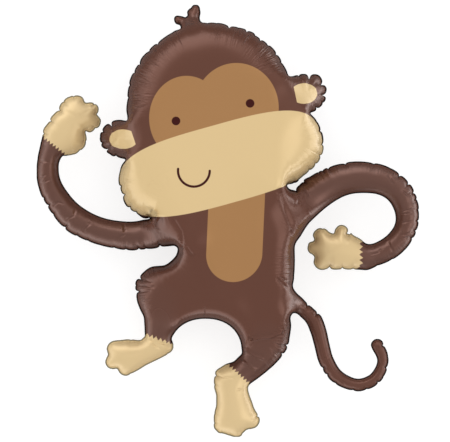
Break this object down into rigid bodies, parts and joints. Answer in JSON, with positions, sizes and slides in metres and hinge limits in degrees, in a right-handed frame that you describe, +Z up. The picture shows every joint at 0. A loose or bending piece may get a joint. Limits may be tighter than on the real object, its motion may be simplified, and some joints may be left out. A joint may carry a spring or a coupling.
{
  "type": "balloon monkey",
  "caption": "Foil shape balloon of a dancing monkey, inflated, with raised arm, curled arm, bent leg and tail, lying face up on its back.",
  "frame": {"origin": "on the ground under the middle of the balloon's outline as it lies on its back", "axes": "+Z up, out of the face side; +Y from the feet to the top of the head; +X towards the curled arm and the tail"},
  "size_m": [0.8832, 0.995, 0.3023],
  "materials": {
    "printed_film": "glossy printed foil film, brown with tan hands, feet and muzzle"
  },
  "bodies": {
    "root": {"monkey_balloon": "printed_film"}
  },
  "joints": []
}
